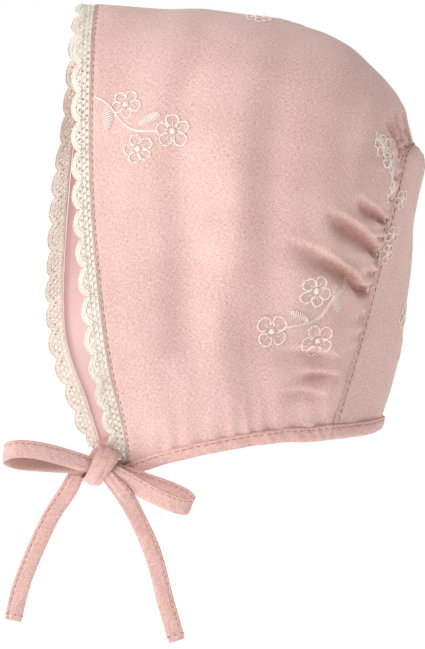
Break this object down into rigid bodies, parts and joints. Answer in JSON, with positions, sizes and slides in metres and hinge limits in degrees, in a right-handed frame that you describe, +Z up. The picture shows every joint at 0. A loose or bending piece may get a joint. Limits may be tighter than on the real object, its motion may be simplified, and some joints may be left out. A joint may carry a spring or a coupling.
{
  "type": "baby bonnet",
  "caption": "Lined cloth baby bonnet with floral embroidery, gathered onto a horseshoe back panel, with scalloped lace round the face and ties in a bow.",
  "frame": {"origin": "inner face of the lining, in the middle plane, where it touches the top of the head", "axes": "+Z up, the face opening looks along -Y, +X is the wearer's left"},
  "size_m": [0.128, 0.1902, 0.2676],
  "materials": {
    "linen": "plain woven pink linen and cotton, matt",
    "lining": "fine woven mauve-pink lining, matt",
    "lace": "cream cotton lace",
    "binding": "folded bias strip of the same pink cloth"
  },
  "bodies": {
    "root": {"crown_panel": "linen", "back_panel": "linen", "lining_crown": "lining", "lining_back": "lining", "lace_trim": "lace", "neck_binding": "binding", "lead_left": "binding", "chin_strap": "binding", "bow_knot": "binding", "bow_loop_front": "binding", "bow_loop_back": "binding", "tail_front": "binding", "tail_back": "binding"}
  },
  "joints": []
}
